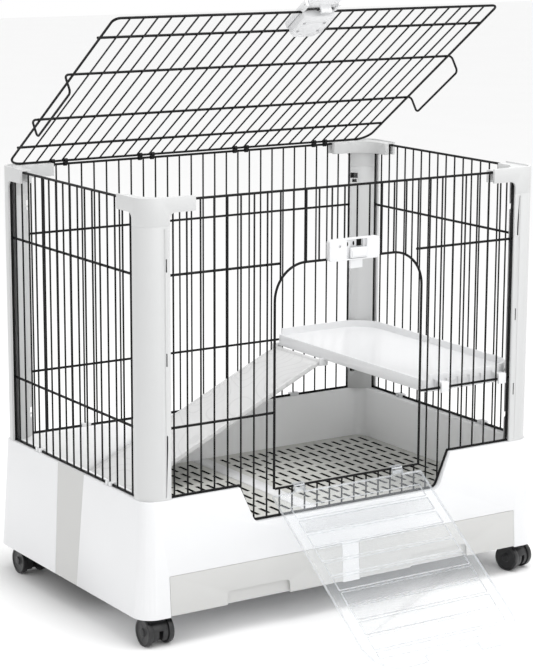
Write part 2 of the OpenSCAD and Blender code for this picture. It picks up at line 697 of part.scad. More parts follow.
module latch_wires() {
    // room for the lid's wires where they pass through the latch
    gap = 0.3;
    for (x = [-pitch, 0, pitch])
        box([x - thin_r - gap, -body_s1 - over, -thin_r - gap], [x + thin_r + gap, -body_s0 + over, thin_r + gap]);
    box([-grip_half * 2, -lid_len - thick_r - gap, -thick_r - gap],
        [grip_half * 2, -lid_len + thick_r + gap, thick_r + gap]);
    box([-grip_half * 2, -lid_bars[3] - thick_r - gap, 0],
        [grip_half * 2, -lid_bars[3] + thick_r + gap, bar_in + thick_r + gap]);
}

screw_xs = [-20, 20];
screw_ss = [body_s0 + 21, body_s0 + 45];
module lid_latch_base() color(white) in_lid() difference() {
    translate([0, 0, -body_under]) linear_extrude(body_under) latch_plan(grip_half - 3, body_s0 + 3, body_s1 - 2, 12);
    translate([0, 0, -body_under + 2.5]) linear_extrude(body_under)
        latch_plan(grip_half - 5.5, body_s0 + 5.5, body_s1 - 4.5, 10);
    latch_wires();
    for (x = screw_xs, s = screw_ss) translate([x, -s, -body_under - over]) cylinder(h = 8, r = 1.3);
}

module lid_latch_cover() color(white) in_lid() difference() {
    union() {
        linear_extrude(body_over) latch_plan(grip_half, body_s0, body_s1, 14);
        for (s = [-1, 1]) box([s * grip_half - (s > 0 ? 5 : 0), -pivot_s - 5, -3],
            [s * grip_half + (s > 0 ? 0 : 5), -body_s1 + 1, body_over]);
    }
    translate([0, 0, -over]) linear_extrude(body_over - 1.5)
        latch_plan(grip_half - 2.5, body_s0 + 2.5, body_s1 - 2.5, 12.5);
    latch_wires();
    translate([-grip_half - over, -pivot_s, pivot_h]) rotate([0, 90, 0]) cylinder(h = 2 * grip_half + 2, r = pin_r);
}

pin_r = 1.5;
hook_x = pitch / 2 - upright_shift;
hook_half = pitch / 2 - thin_r - 0.8;
lever_half = grip_half - 5.5;
module lid_latch_lever() color(white) in_lid() difference() {
    union() {
        // grip over the lid's front edge
        box([-lever_half, -lid_len - 38, pivot_h - 3.5], [lever_half, -lid_len - 14.5, body_over]);
        // hook that turns under the front panel's top wire, between two upright wires
        box([hook_x - hook_half, -lid_len - 22, -14], [hook_x + hook_half, -lid_len - 18.5, pivot_h]);
        box([hook_x - hook_half, -lid_len - 22, -14], [hook_x + hook_half, -lid_len - 16.2, -11]);
    }
    translate([-lever_half - over, -pivot_s, pivot_h]) rotate([0, 90, 0])
        cylinder(h = 2 * lever_half + 2, r = pin_r + run_gap);
    for (s = [24, 28, 32])
        box([-lever_half - over, -lid_len - s - 0.8, body_over - 0.8], [lever_half + over, -lid_len - s, body_over + over]);
}

module lid_latch_pin() color(wire_black) in_lid()
    translate([-grip_half, -pivot_s, pivot_h]) rotate([0, 90, 0]) cylinder(h = 2 * grip_half, r = pin_r);

module lid_latch_screws() color("silver") in_lid() for (x = screw_xs, s = screw_ss)
    translate([x, -s, -body_under]) {
        translate([0, 0, -1]) cylinder(h = 1, r = 2.4);
        cylinder(h = 6, r = 1.3);
    }

// ---- door latch ----
latch_z0 = door_top_z - 2.5;
latch_z1 = latch_z0 + 36;
latch_back = -thin_out - thin_r;             // rests on the front of the wires
latch_face = latch_back - 10;
pad_x0 = latch_x - 8;
pad_x1 = latch_x + 24;
pad_z0 = latch_z0 + 3;
pad_z1 = pad_z0 + 17;
tongue_y0 = latch_back - 5.4;
tongue_y1 = latch_back - 1.4;
tongue_drop = 15;
module door_latch_box() color(white) at_front() difference() {
    translate([latch_x, 0, (latch_z0 + latch_z1) / 2]) rotate([90, 0, 0])
        translate([0, 0, -latch_back]) linear_extrude(latch_back - latch_face)
            rounded_square(latch_w, latch_z1 - latch_z0, 6);
    // recess that the pad slides in, and the channel for its tongue
    box([latch_x - 16, latch_face - over, latch_z0 + 2],
        [pad_x1 + slide_gap, tongue_y0 + slide_gap, pad_z1 + latch_travel + 2]);
    box([pad_x0 + 2 - slide_gap, tongue_y0 - slide_gap, latch_z0 - over],
        [pad_x1 - 5 + slide_gap, tongue_y1 + slide_gap, pad_z1 + latch_travel + 1]);
    // keyhole and the small holes beside it
    translate([latch_x - 12, latch_back + over, latch_z1 - 10]) rotate([90, 0, 0]) cylinder(h = 20, r = 2);
    translate([latch_x - 30, latch_face + 3, latch_z1 - 12]) rotate([90, 0, 0]) cylinder(h = 10, r = 2.5);
}

module rounded_square(w, h, r) {
    square([w - 2 * r, h], center = true);
    square([w, h - 2 * r], center = true);
    for (sx = [-1, 1], sy = [-1, 1]) translate([sx * (w / 2 - r), sy * (h / 2 - r)]) circle(r);
}

module door_latch_slider() color(white) at_front() {
    box([pad_x0, latch_face - 1, pad_z0], [pad_x1, tongue_y0, pad_z1]);
    box([pad_x0 + 2, tongue_y0, latch_z0 - tongue_drop], [pad_x1 - 5, tongue_y1, pad_z1]);
}

// ---- ramp door: x across, the door reaching towards -Y and drawn level, then leaned down ----
module in_ramp() at_front() translate([0, 0, door_hinge_z]) rotate([ramp_angle, 0, 0]) children();

knuckle_w = pitch - thin_d - 2.2;              // fits between two sill wires
knuckle_gaps = [1, len(sill_xs) - 3];        // which gap between sill wires each knuckle sits in
module ramp_door() color(clear_tint) in_ramp() {
    z0 = -ramp_under;
    start = 11;
    half = ramp_w / 2;
    r = 55;
    first = 28 + start;
    last = ramp_len - 24;
    inner = half - ramp_rail;
    cx = door_x - 3;
    difference() {
        translate([cx, 0, z0]) linear_extrude(ramp_t) ramp_outline(half, start, r);
        // the open windows are thinned to a sheet, with ribs left between them
        translate([0, 0, z0 + 2]) linear_extrude(ramp_t) for (s = [first : ramp_rib_pitch : last - 12])
            translate([cx - inner, -min(s + ramp_rib_pitch - 5, last)]) square([2 * inner, min(ramp_rib_pitch - 5, last - s)]);
        // end notch around the door latch
        box([latch_x - latch_w / 2 - 3, -ramp_len - over, z0 - over],
            [latch_x + latch_w / 2 + 3, -ramp_len + 12, z0 + ramp_t + over]);
    }
    for (g = knuckle_gaps) knuckle((sill_xs[g] + sill_xs[g + 1]) / 2, start, z0);
}

module ramp_outline(half, start, r) {
    translate([-half, -ramp_len + r]) square([2 * half, ramp_len - r - start]);
    translate([-half + r, -ramp_len]) square([2 * (half - r), r + 1]);
    for (s = [-1, 1]) translate([s * (half - r), -ramp_len + r]) circle(r);
}

// A clear eye that turns on the hinge wire, between two upright wires
module knuckle(x, start, z0) {
    eye_r = 5;
    translate([x - knuckle_w / 2, 0, 0]) rotate([90, 0, 90]) linear_extrude(knuckle_w) difference() {
        union() {
            circle(eye_r);
            polygon([[0, eye_r], [-eye_r, 0], [-start + 4, z0], [-start - 6, z0], [-start - 6, z0 + ramp_t]]);
        }
        circle(thick_r + run_gap);
    }
}

// ---- shelf and inner ramp ----
shelf_x1 = wx - 6.5;
shelf_x0 = shelf_x1 - shelf_w;
shelf_y0 = -wy + 12;
shelf_y1 = wy - 7.4;
shelf_wall = 3;
post_round = 60;
free_round = 11;
shelf_low = shelf_z - shelf_skirt;
left_lip = 2.5;

// Plan of the shelf: small corners at its free end, wide ones around the post covers
module shelf_plan(inset) {
    x0 = shelf_x0 + inset;
    x1 = shelf_x1 - inset;
    y0 = shelf_y0 + inset;
    y1 = shelf_y1 - inset;
    rf = free_round - inset;
    rp = post_round - inset;
    translate([x0 + rf, y0]) square([x1 - x0 - rf - rp, y1 - y0]);
    translate([x0, y0 + rf]) square([rf + 1, y1 - y0 - 2 * rf]);
    translate([x1 - rp - 1, y0 + rp]) square([rp + 1, y1 - y0 - 2 * rp]);
    for (y = [y0 + rf, y1 - rf]) translate([x0 + rf, y]) circle(rf);
    for (y = [y0 + rp, y1 - rp]) translate([x1 - rp, y]) circle(rp);
}

module shelf() color(white) in_cage() difference() {
    union() {
        difference() {
            translate([0, 0, shelf_low]) linear_extrude(shelf_rim_z - shelf_low) shelf_plan(0);
            translate([0, 0, shelf_z]) linear_extrude(shelf_rim_z) shelf_plan(5);
            translate([0, 0, shelf_low - over]) linear_extrude(shelf_skirt + over - shelf_wall) shelf_plan(shelf_wall);
            // the ramp's edge of the rim is only a low lip
            box([shelf_x0 - over, shelf_y0 - over, shelf_z + left_lip], [shelf_x0 + 9, shelf_y1 + over, shelf_rim_z + over]);
        }
        // lugs for the inner ramp's pin
        for (y = [climb_y0 - 6, climb_y1 + 1])
            box([climb_x - 5, y, climb_z - 5], [shelf_x0 + 8, y + 5, shelf_low + shelf_wall]);
        translate([climb_x, climb_y1 + 2, climb_z]) rotate([90, 0, 0]) cylinder(h = climb_w + 4, r = climb_pin_r);
    }
    // grooves for the upright wires in the front face
    for (x = thin_xs) if (x > shelf_x0 + 10 && x < shelf_x1 - post_round)
        box([x - 2.5, shelf_y0 - over, shelf_low - over], [x + 2.5, shelf_y0 + 2, shelf_low + 20]);
}

// Hooks on the lower cross wires, each between two upright wires
hook_w = 16;
hook_xs = [thin_xs[21] + pitch / 2, thin_xs[26] + pitch / 2];
module shelf_hooks() color(white) in_cage() for (x = hook_xs, s = [-1, 1])
    translate([x - hook_w / 2, 0, 0]) rotate([90, 0, 90]) linear_extrude(hook_w) difference() {
        shelf_side = s < 0 ? shelf_y0 : -shelf_y1;
        union() {
            translate([-wy - 4, cross_lo_z - 1]) square([shelf_side + wy + 4, 11]);
            translate([-wy - 4, cross_lo_z - 8]) square([3.4, 10]);
        }
        translate([-wy + bar_back - thick_r - 0.2, cross_lo_z - 10]) square([frame_d + 0.4, 12.2]);
    }

climb_pin_r = 2.5;
climb_x = shelf_x0 - 4.5;
climb_z = shelf_low - 6;
climb_y0 = 82.3;
climb_y1 = climb_y0 + climb_w;
climb_drop = climb_z - mat_z - fit_gap;
climb_angle = asin(climb_drop / norm([climb_len, climb_t / 2])) - atan(climb_t / 2 / climb_len);
module inner_ramp() color(post_grey) in_cage() translate([climb_x, 0, climb_z]) rotate([0, -climb_angle, 0])
    difference() {
        union() {
            rotate([-90, 0, 0]) translate([0, 0, climb_y0 + 0.5]) cylinder(h = climb_w - 1, r = 5);
            box([-climb_len, climb_y0 + 0.5, -climb_t / 2], [-2, climb_y1 - 0.5, climb_t / 2]);
            for (y = [climb_y0 + 0.5, climb_y1 - 4.5])
                box([-climb_len + 4, y, 0], [-14, y + 4, climb_t / 2 + 3]);
        }
        rotate([-90, 0, 0]) translate([0, 0, climb_y0 - over]) cylinder(h = climb_w + 2, r = climb_pin_r + run_gap);
    }

// ---- casters ----
caster_x = wx - 16;
caster_y = wy - 20;
caster_places = [[-caster_x, -caster_y], [caster_x, -caster_y], [-caster_x, caster_y], [caster_x, caster_y]];
caster_turns = [0, 15, 0, -40];
socket_r = 8;
socket_z = base_z - 3;
hood_half = wheel_gap / 2 - wheel_t / 2 - 0.9;
axle_r = 3;

module caster_sockets() color(wire_black) in_cage() for (c = caster_places) translate([c[0], c[1], 0]) difference() {
    union() {
        translate([0, 0, socket_z]) cylinder(h = base_z - socket_z, r = 13.5);
        translate([0, 0, socket_z]) cylinder(h = 30, r = socket_r);
    }
    translate([0, 0, socket_z - over]) cylinder(h = 28, r = stem_r + run_gap);
}

module at_caster(i) in_cage() translate([caster_places[i][0], caster_places[i][1], 0])
    rotate(caster_turns[i]) children();

module caster_hood(i) color(wire_black) at_caster(i) difference() {
    union() {
        translate([0, 0, 30]) cylinder(h = socket_z + 26 - 30, r = stem_r);
        intersection() {
            union() {
                translate([-hood_half, -trail, wheel_r]) rotate([0, 90, 0]) cylinder(h = 2 * hood_half, r = wheel_r - 2);
                box([-hood_half, -trail, wheel_r - 6], [hood_half, 9, socket_z - 0.5]);
            }
            box([-50, -60, 9], [50, 60, socket_z - 0.5]);
        }
    }
    translate([-50, -trail, wheel_r]) rotate([0, 90, 0]) cylinder(h = 100, r = axle_r + run_gap);
    box([-4, -trail - wheel_r, 8], [4, -trail - axle_r - 6, wheel_r + 4]);
}

module caster_wheels(i) color(wire_black) at_caster(i) for (s = [-1, 1])
    translate([s * wheel_gap / 2 - wheel_t / 2, -trail, wheel_r]) rotate([0, 90, 0]) difference() {
        cylinder(h = wheel_t, r = wheel_r);
        translate([0, 0, -over]) cylinder(h = wheel_t + 2, r = axle_r);
        translate([0, 0, s > 0 ? wheel_t - 1.5 : -over]) difference() {
            cylinder(h = 1.5 + over, r = wheel_r - 4);
            cylinder(h = 1.5 + over, r = 7);
        }
    }

module caster_axle(i) color("silver") at_caster(i)
    translate([-wheel_gap / 2 - wheel_t / 2, -trail, wheel_r]) rotate([0, 90, 0])
        cylinder(h = wheel_gap + wheel_t, r = axle_r);

base_skirt();
tub_liner();
mat_ledge();
base_floor();
center_beam();
end_strip(-1);  // end_strip_left
end_strip(1);  // end_strip_right
floor_mat(-1);  // floor_mat_left
floor_mat(1);  // floor_mat_right
post(-1, -1);  // post_fl
post(1, -1);  // post_fr
post(-1, 1);  // post_bl
post(1, 1);  // post_br
post_cover(-1, -1);  // post_cover_fl
post_cover(1, -1);  // post_cover_fr
post_cover(-1, 1);  // post_cover_bl
post_cover(1, 1);  // post_cover_br
corner_cap(-1, -1);  // corner_cap_fl
corner_cap(1, -1);  // corner_cap_fr
corner_cap(-1, 1);  // corner_cap_bl
corner_cap(1, 1);  // corner_cap_br
back_panel();
side_panel(-1);  // left_panel
side_panel(1);  // right_panel
front_side(-1);  // front_panel_left
front_side(1);  // front_panel_right
front_panel_header();
front_panel_sill();
rim_clips();
hinge_loops();
lid_mesh();
lid_bails();
lid_latch_base();
lid_latch_cover();
lid_latch_lever();
lid_latch_pin();
lid_latch_screws();
door_latch_box();
door_latch_slider();
ramp_door();
drawer(-1);  // drawer_left
drawer(1);  // drawer_right
shelf();
shelf_hooks();
inner_ramp();
caster_sockets();
caster_hood(0);  // caster_hood_fl
caster_hood(1);  // caster_hood_fr
caster_hood(2);  // caster_hood_bl
caster_hood(3);  // caster_hood_br
caster_wheels(0);  // caster_wheels_fl
caster_wheels(1);  // caster_wheels_fr
caster_wheels(2);  // caster_wheels_bl
caster_wheels(3);  // caster_wheels_br
caster_axle(0);  // caster_axle_fl
caster_axle(1);  // caster_axle_fr
caster_axle(2);  // caster_axle_bl
caster_axle(3);  // caster_axle_br
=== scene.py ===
import json
import math

import bpy
from mathutils import Matrix, Vector


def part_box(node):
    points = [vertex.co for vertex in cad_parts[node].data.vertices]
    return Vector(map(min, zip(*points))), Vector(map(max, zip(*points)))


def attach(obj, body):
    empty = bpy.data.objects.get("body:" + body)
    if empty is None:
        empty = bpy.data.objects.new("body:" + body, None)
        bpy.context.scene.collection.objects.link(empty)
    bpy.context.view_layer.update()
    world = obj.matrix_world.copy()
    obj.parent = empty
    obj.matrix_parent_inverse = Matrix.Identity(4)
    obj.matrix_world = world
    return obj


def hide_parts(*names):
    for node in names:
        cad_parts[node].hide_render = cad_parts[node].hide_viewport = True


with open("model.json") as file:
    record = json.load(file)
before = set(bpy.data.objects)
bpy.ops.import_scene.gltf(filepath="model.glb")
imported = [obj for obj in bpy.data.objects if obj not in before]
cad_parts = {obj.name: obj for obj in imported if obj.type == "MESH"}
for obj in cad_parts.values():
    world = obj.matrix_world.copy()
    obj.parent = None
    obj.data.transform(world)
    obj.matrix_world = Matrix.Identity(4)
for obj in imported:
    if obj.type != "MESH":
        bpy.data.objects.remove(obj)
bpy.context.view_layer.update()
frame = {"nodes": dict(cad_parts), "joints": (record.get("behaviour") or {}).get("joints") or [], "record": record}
nodes = frame["nodes"]
record = frame["record"]
CORNERS = ("fl", "fr", "bl", "br")
SIDES = (-1, 1)
MM = 0.001

# ---- where things are, read from the frame ----
body_of_node = {n: body for body, members in record["behaviour"]["bodies"].items() for n in members}
slot_of_node = {part["node"]: part["material_slot"] for part in record["subparts"]}
joint = {j["name"]: j for j in frame["joints"]}


# ---- camera ----
def place_camera():
    """Stands to the front left of the cage, a little above the open lid, and looks slightly down."""
    azimuth, elevation, roll = math.radians(-32.891), math.radians(11.832), math.radians(0.207)
    to_the_left, to_the_front, height = 2.0045, 3.0952, 1.1957
    skirt_low, skirt_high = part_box("base_skirt")
    middle_y = (skirt_low.y + skirt_high.y) / 2
    data = bpy.data.cameras.new("camera")
    data.sensor_width = 36
    data.lens = 115.2
    data.clip_end = 50
    camera = bpy.data.objects.new("camera", data)
    turn = (Matrix.Rotation(azimuth, 4, "Z") @ Matrix.Rotation(math.pi / 2 - elevation, 4, "X")
            @ Matrix.Rotation(roll, 4, "Z"))
    camera.matrix_world = Matrix.Translation((-to_the_left, middle_y - to_the_front, height)) @ turn
    bpy.context.scene.collection.objects.link(camera)
    bpy.context.scene.camera = camera


# ---- shader kit ----
class Value:
    """A shader socket that does arithmetic: an expression on values adds its Math nodes."""

    def __init__(self, finish, socket):
        self.finish = finish
        self.socket = socket

    def _math(self, operation, *terms):
        return self.finish.node("ShaderNodeMath", {"operation": operation}, dict(enumerate(terms)))

    def __add__(self, other):
        return self._math("ADD", self, other)

    def __radd__(self, other):
        return self._math("ADD", other, self)

    def __mul__(self, other):
        return self._math("MULTIPLY", self, other)

    def __rmul__(self, other):
        return self._math("MULTIPLY", other, self)

    def above(self, other):
        return self._math("GREATER_THAN", self, other)

    def wrapped(self):
        return self._math("FRACT", self)


class Finish:
    """A material under construction, with one Principled shader."""

    def __init__(self, name, **constants):
        self.material = bpy.data.materials.new(name)
        self.material.use_nodes = True
        self.tree = self.material.node_tree
        self.shader = self.tree.nodes["Principled BSDF"]
        for socket, value in constants.items():
            self.shader.inputs[socket.replace("_", " ")].default_value = value

    def node(self, kind, settings=None, inputs=None, output=0):
        """Adds any node: its settings first, then the values or links of its sockets."""
        made = self.tree.nodes.new(kind)
        for name, value in (settings or {}).items():
            setattr(made, name, value)
        for key, value in (inputs or {}).items():
            self.feed(made.inputs[key], value)
        return Value(self, made.outputs[output])

    def feed(self, socket, value):
        if isinstance(value, Value):
            self.tree.links.new(value.socket, socket)
        else:
            socket.default_value = value

    def set(self, name, value):
        self.feed(self.shader.inputs[name], value)

    def place(self, stretch):
        """The piece's own coordinates, in metres, squeezed or stretched along its axes."""
        where = self.node("ShaderNodeTexCoord", output="Object")
        if stretch is None:
            return where
        return self.node("ShaderNodeMapping", inputs={"Vector": where, "Scale": stretch})

    def noise(self, scale, detail, roughness=0.5, stretch=None):
        return self.node("ShaderNodeTexNoise", inputs={
            "Vector": self.place(stretch), "Scale": scale, "Detail": detail, "Roughness": roughness})

    def mix(self, factor, first, second):
        return self.node("ShaderNodeMix", {"data_type": "RGBA"}, {0: factor, 6: first, 7: second}, output=2)

    def bump(self, height, distance, strength, under=None):
        """Raises the surface by the height, over another bump where one is given."""
        inputs = {"Height": height, "Distance": distance, "Strength": strength}
        if under is not None:
            inputs["Normal"] = under
        return self.node("ShaderNodeBump", inputs=inputs)


def shade(colour, factor):
    return tuple(part * factor for part in colour) + (1,)


# ---- finishes ----
def moulded_plastic(name, colour, rough, grain, coat=0.0):
    """Moulded plastic: fine surface grain, faint cloudiness and slow waves from the mould."""
    finish = Finish(name, Specular_IOR_Level=0.5, Coat_Roughness=0.12, Coat_Weight=coat)
    cloud = finish.noise(scale=9, detail=4)
    fine = finish.noise(scale=1400, detail=2)
    wave = finish.noise(scale=14, detail=1)
    finish.set("Base Color", finish.mix(cloud, shade(colour, 0.975), shade(colour, 1.02)))
    finish.set("Roughness", rough - 0.05 + 0.06 * cloud + 0.06 * fine)
    slow = finish.bump(wave, distance=1.2 * MM, strength=0.25)
    finish.set("Normal", finish.bump(fine, distance=grain, strength=0.6, under=slow))
    return finish.material


def coated_wire():
    """Black dip coating on steel wire, glossy, with a soft orange peel."""
    finish = Finish("black_coating", Specular_IOR_Level=0.18)
    cloud = finish.noise(scale=30, detail=3)
    peel = finish.noise(scale=900, detail=2)
    finish.set("Base Color", finish.mix(cloud, (0.002, 0.002, 0.0022, 1), (0.006, 0.006, 0.0066, 1)))
    finish.set("Roughness", 0.34 + 0.18 * cloud)
    finish.set("Normal", finish.bump(peel, distance=0.2 * MM, strength=0.5))
    return finish.material


def clear_plastic():
    """Clear moulded sheet: barely seen face on, denser where it is seen at a slant."""
    finish = Finish("clear_sheet", Specular_IOR_Level=0.6)
    flow = finish.noise(scale=6, detail=2, stretch=(1, 3, 1))
    spots = finish.noise(scale=160, detail=3)
    slant = finish.node("ShaderNodeLayerWeight", inputs={"Blend": 0.35}, output="Facing")
    finish.set("Base Color", finish.mix(flow, (0.80, 0.85, 0.90, 1), (0.88, 0.91, 0.94, 1)))
    finish.set("Alpha", 0.03 + 0.42 * slant * slant + 0.04 * flow)
    finish.set("Roughness", 0.06 + 0.06 * spots)
    finish.set("Normal", finish.bump(flow, distance=0.8 * MM, strength=0.3))
    return finish.material


def painted_edge_light():
    """Painted light along the clear sheet's edges and ribs: a denser look, standing in for the light that runs
    inside it.
    """
    finish = Finish("clear_sheet_painted_edge_light", Specular_IOR_Level=0.8)
    streak = finish.noise(scale=90, detail=2)
    finish.set("Base Color", finish.mix(streak, (0.55, 0.58, 0.61, 1), (0.86, 0.88, 0.90, 1)))
    finish.set("Alpha", 0.45 + 0.4 * streak)
    finish.set("Roughness", 0.05 + 0.1 * streak)
    finish.set("Normal", finish.bump(streak, distance=0.4 * MM, strength=0.3))
    return finish.material


def embossed_ramp():
    """Light grey plastic with raised, wavy tread lines like the contours of a map."""
    contours, line_start = 14, 0.86
    finish = Finish("embossed_tread", Specular_IOR_Level=0.5)
    cloud = finish.noise(scale=9, detail=4)
    fine = finish.noise(scale=1100, detail=2)
    hills = finish.noise(scale=10, detail=0.4, roughness=0.4, stretch=(1, 0.7, 1))
    line = (contours * hills).wrapped().above(line_start)
    finish.set("Base Color", finish.mix(line, (0.64, 0.64, 0.64, 1), (0.59, 0.59, 0.59, 1)))
    finish.set("Roughness", 0.36 + 0.1 * cloud + 0.06 * fine)
    grain = finish.bump(fine, distance=0.15 * MM, strength=0.5)
    finish.set("Normal", finish.bump(line, distance=0.7 * MM, strength=0.5, under=grain))
    return finish.material


def painted_shade_finish():
    """Painted shade for the unlit inside of a drawer, a slot or a keyhole: dull and nearly black, with a trace of
    dust.
    """
    finish = Finish("painted_shade_inside", Specular_IOR_Level=0.1)
    dust = finish.noise(scale=60, detail=4)
    finish.set("Base Color", finish.mix(dust, (0.006, 0.006, 0.006, 1), (0.016, 0.016, 0.015, 1)))
    finish.set("Roughness", 0.75 + 0.2 * dust)
    finish.set("Normal", finish.bump(dust, distance=0.3 * MM, strength=0.4))
    return finish.material


def plain_steel():
    """Drawn steel with fine lengthwise scratches."""
    finish = Finish("drawn_steel", Metallic=1.0)
    scratch = finish.noise(scale=400, detail=3, stretch=(0.05, 1, 1))
    cloud = finish.noise(scale=40, detail=3)
    finish.set("Base Color", finish.mix(cloud, (0.42, 0.42, 0.43, 1), (0.6, 0.6, 0.61, 1)))
    finish.set("Roughness", 0.24 + 0.2 * scratch)
    finish.set("Normal", finish.bump(scratch, distance=0.1 * MM, strength=0.4))
    return finish.material


# Each material slot's finish. A moulded plastic has a colour, a roughness, a depth of grain and a clear coat.
FINISHES = {
    "gloss_white": moulded_plastic("white_mouldings", (0.76, 0.765, 0.775), 0.3, 0.06 * MM, 0.15),
    "post_grey": moulded_plastic("grey_mouldings", (0.60, 0.605, 0.605), 0.34, 0.1 * MM),
    "trim_grey": moulded_plastic("grained_trim", (0.56, 0.56, 0.55), 0.45, 0.3 * MM),
    "mat_grey": moulded_plastic("mat_mouldings", (0.56, 0.56, 0.53), 0.48, 0.3 * MM),
    "black_wire": coated_wire(),
    "clear_plastic": clear_plastic(),
    "caster_black": moulded_plastic("black_mouldings", (0.012, 0.012, 0.013), 0.32, 0.1 * MM),
    "plain_steel": plain_steel(),
}
EMBOSSED = embossed_ramp()
# Painted light: the tub liner is a lighter copy of the white mouldings, standing in for light that falls inside
# the tub
LINER_PAINTED_LIGHT = moulded_plastic("liner_mouldings_painted_light", (0.95, 0.955, 0.96), 0.3, 0.06 * MM, 0.1)
# Painted shade: a nearly black finish put where the insides of drawers, slots and keyholes fall into shade
PAINTED_SHADE = painted_shade_finish()
PAINTED_EDGE_LIGHT = painted_edge_light()


# ---- finished copies of the moulded nodes ----
def only(piece):
    bpy.ops.object.select_all(action="DESELECT")
    piece.select_set(True)
    bpy.context.view_layer.objects.active = piece


def wear(piece, finish):
    piece.data.materials.clear()
    piece.data.materials.append(finish)


def apply_modifier(piece, kind, **settings):
    modifier = piece.modifiers.new(kind.lower(), kind)
    for name, value in settings.items():
        setattr(modifier, name, value)
    only(piece)
    bpy.ops.object.modifier_apply(modifier=modifier.name)


def finished_copy(node, edge, smooth_angle=40, finish=None):
    """A copy of a node's mesh with merged corners, rounded edges and smooth shading, in its own finish."""
    piece = bpy.data.objects.new(node + "_finished", nodes[node].data.copy())
    bpy.context.scene.collection.objects.link(piece)
    only(piece)
    bpy.ops.object.mode_set(mode="EDIT")
    bpy.ops.mesh.select_all(action="SELECT")
    bpy.ops.mesh.remove_doubles(threshold=0.01 * MM)
    bpy.ops.mesh.dissolve_limited(angle_limit=math.radians(0.6))
    bpy.ops.object.mode_set(mode="OBJECT")
    if edge:
        apply_modifier(piece, "BEVEL", width=edge, segments=2, limit_method="ANGLE",
                       angle_limit=math.radians(38), use_clamp_overlap=True, miter_outer="MITER_ARC")
    only(piece)
    bpy.ops.object.shade_smooth_by_angle(angle=math.radians(smooth_angle))
    wear(piece, finish or FINISHES[slot_of_node[node]])
    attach(piece, body_of_node[node])
    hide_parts(node)


# Width of the rounded edges on each moulding; the mats' edges stay sharp
EDGES = {
    "base_skirt": 1.2 * MM,
    "tub_liner": 1.0 * MM,
    "center_beam": 1.0 * MM,
    "shelf": 1.6 * MM,
    "drawer_left": 0.8 * MM,
    "drawer_right": 0.8 * MM,
    "door_latch_box": 0.9 * MM,
    "door_latch_slider": 0.8 * MM,
    "lid_latch_base": 0.8 * MM,
    "lid_latch_cover": 0.8 * MM,
    "floor_mat_left": 0,
    "floor_mat_right": 0,
    "lid_latch_lever": 0.8 * MM,
    "ramp_door": 0.8 * MM,
    "shelf_hooks": 1.0 * MM,
    "rim_clips": 0.4 * MM,
}
for corner in CORNERS:
    EDGES["post_" + corner] = 0.8 * MM
    EDGES["post_cover_" + corner] = 0.5 * MM
    EDGES["corner_cap_" + corner] = 0.7 * MM
    EDGES["caster_hood_" + corner] = 0.8 * MM
    EDGES["caster_wheels_" + corner] = 0.9 * MM
WIRES = ("back_panel", "left_panel", "right_panel", "front_panel_left", "front_panel_right",
         "front_panel_header", "front_panel_sill", "lid_mesh")
# The inner ramp has a finish of its own, and the bails are modelled anew
MODELLED = ("inner_ramp", "lid_bails")


def finish_nodes():
    """Finished copies of the mouldings and the wires, and a finish on each node that stays as it is."""
    for node, edge in EDGES.items():
        # the tub liner takes the lighter copy of the white mouldings, painted light
        finished_copy(node, edge, finish=LINER_PAINTED_LIGHT if node == "tub_liner" else None)
    for node in WIRES:
        finished_copy(node, 0, smooth_angle=50)
    finished_copy("inner_ramp", 0.8 * MM, finish=EMBOSSED)
    for node, piece in nodes.items():
        if node not in EDGES and node not in WIRES and node not in MODELLED:
            wear(piece, FINISHES[slot_of_node[node]])


def paint_shade_in_drawers():
    """Paints shade on a drawer behind its light grey front, so the slots of the mats over it read black."""
    front_depth = 14 * MM
    for node in ("drawer_left", "drawer_right"):
        piece = bpy.data.objects[node + "_finished"]
        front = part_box(node)[0].y
        piece.data.materials.append(PAINTED_SHADE)
        # painted shade on every face behind the drawer's front
        for face in piece.data.polygons:
            if face.center.y > front + front_depth:
                face.material_index = 1


def mark_walls(node, normal, finish, least):
    """Gives the faces that don't look along normal, such as edges and slot walls, a finish of their own."""
    piece = bpy.data.objects[node + "_finished"]
    piece.data.materials.append(finish)
    for face in piece.data.polygons:
        if abs(face.normal.dot(normal)) < least:
            face.material_index = 1


def paint_edge_light_and_slot_shade():
    """Painted light on the clear edges of the ramp door, and painted shade on the walls in the slots of the mats.
    """
    faces = bpy.data.objects["ramp_door_finished"].data.polygons
    widest = max(faces, key=lambda face: face.area)
    # painted light on the edges and ribs of the clear ramp door
    mark_walls("ramp_door", widest.normal.copy(), PAINTED_EDGE_LIGHT, least=0.9)
    for node in ("floor_mat_left", "floor_mat_right"):
        # painted shade on the walls of the mats' slots
        mark_walls(node, Vector((0, 0, 1)), PAINTED_SHADE, least=0.5)


# ---- pieces modelled here ----
def settle(piece, name, body, like, finish=None):
    """Puts the piece's place into its mesh and gives it its name, its body and the finish of a material slot."""
    only(piece)
    bpy.ops.object.transform_apply(location=True, rotation=True, scale=True)
    bpy.ops.object.shade_smooth_by_angle(angle=math.radians(40))
    piece.name = name
    wear(piece, finish or FINISHES[like])
    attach(piece, body)


def block(name, low, high, edge, body, like, finish=None):
    """A small moulded block between two corners, with rounded edges."""
    low, high = Vector(low), Vector(high)
    bpy.ops.object.select_all(action="DESELECT")
    bpy.ops.mesh.primitive_cube_add(size=1, location=(low + high) / 2)
    piece = bpy.context.object
    piece.scale = high - low
    bpy.ops.object.transform_apply(location=True, rotation=True, scale=True)
    bpy.ops.object.mode_set(mode="EDIT")
    bpy.ops.mesh.select_all(action="SELECT")
    bpy.ops.mesh.bevel(offset=edge, segments=3, affect="EDGES")
    bpy.ops.object.mode_set(mode="OBJECT")
    settle(piece, name, body, like, finish)


